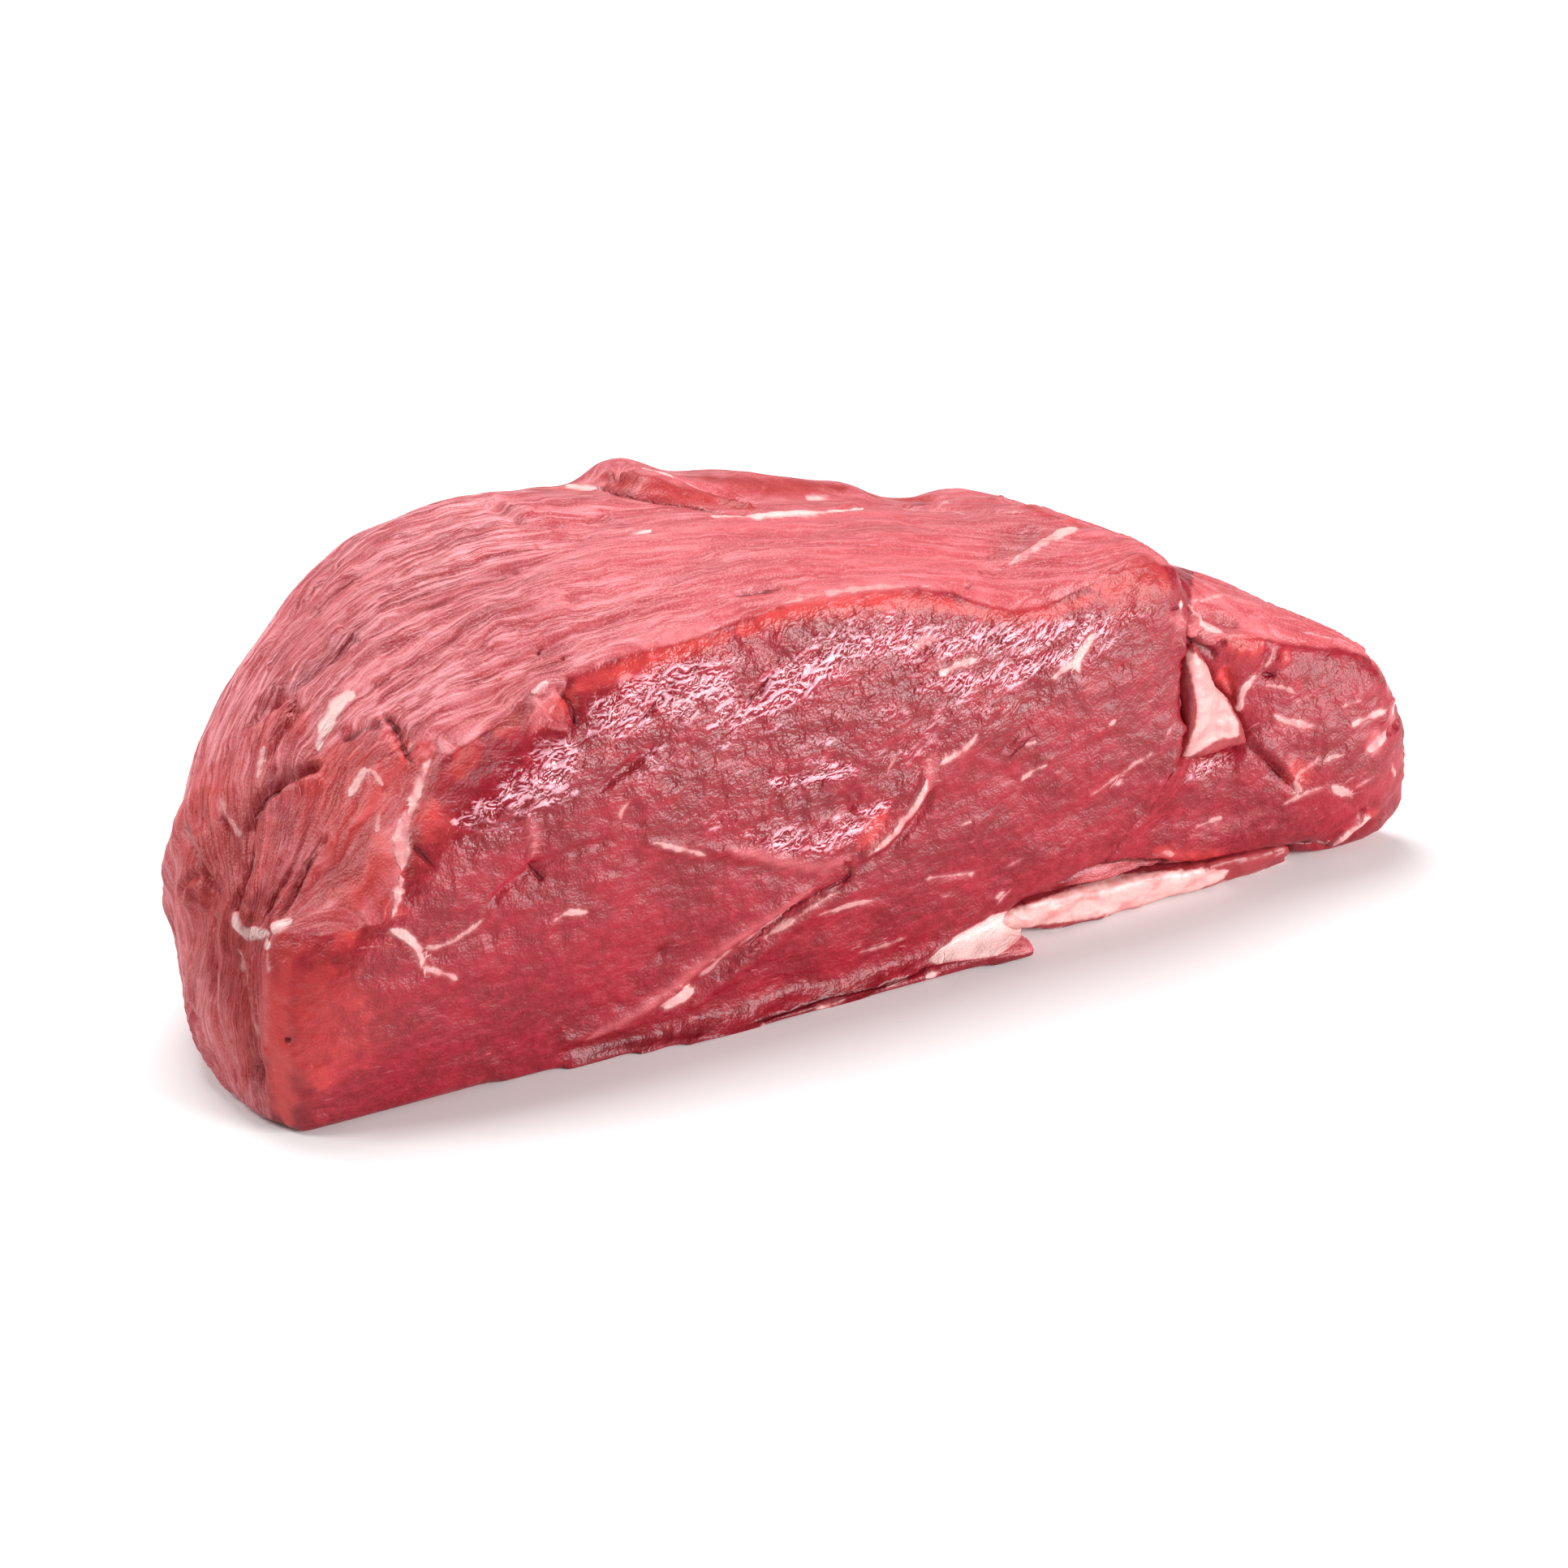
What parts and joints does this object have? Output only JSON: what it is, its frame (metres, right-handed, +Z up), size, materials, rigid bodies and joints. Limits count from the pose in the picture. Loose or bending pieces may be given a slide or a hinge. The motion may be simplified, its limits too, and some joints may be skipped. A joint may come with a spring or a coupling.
{
  "type": "raw beef shoulder clod",
  "caption": "Trimmed raw beef roast: a domed block of lean with a flat cut front, a tapering end muscle and fat in its seams.",
  "frame": {"origin": "middle of the piece's length and depth, at its flat underside", "axes": "+X along the length towards the tapered end muscle, +Y from the cut front face to the back, +Z up"},
  "size_m": [0.31, 0.1388, 0.1114],
  "materials": {
    "lean": "moist red lean, wet and shining on the cut face, duller and pinker under the skin on top",
    "fat": "soft cream fat with a faint pink tint"
  },
  "bodies": {
    "root": {"clod": "lean", "seam_fat": "fat", "under_fat": "fat"}
  },
  "joints": []
}
